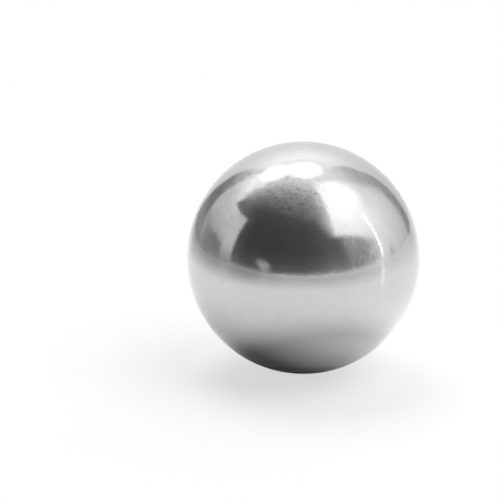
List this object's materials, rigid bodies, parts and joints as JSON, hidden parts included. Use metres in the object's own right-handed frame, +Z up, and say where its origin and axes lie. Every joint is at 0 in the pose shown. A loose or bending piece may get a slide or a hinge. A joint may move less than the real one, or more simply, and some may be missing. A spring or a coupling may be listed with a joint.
{
  "type": "steel ball",
  "caption": "Solid polished steel ball that rolls, spaces or weighs down small things, and seats in a cup, ring or groove.",
  "frame": {"origin": "the centre of the ball", "axes": "+Z up, through the centre; the ball is the same about every axis, so X and Y are free"},
  "size_m": [0.0254, 0.0254, 0.0254],
  "materials": {
    "polished_steel": "polished"
  },
  "bodies": {
    "root": {"ball": "polished_steel"}
  },
  "joints": []
}
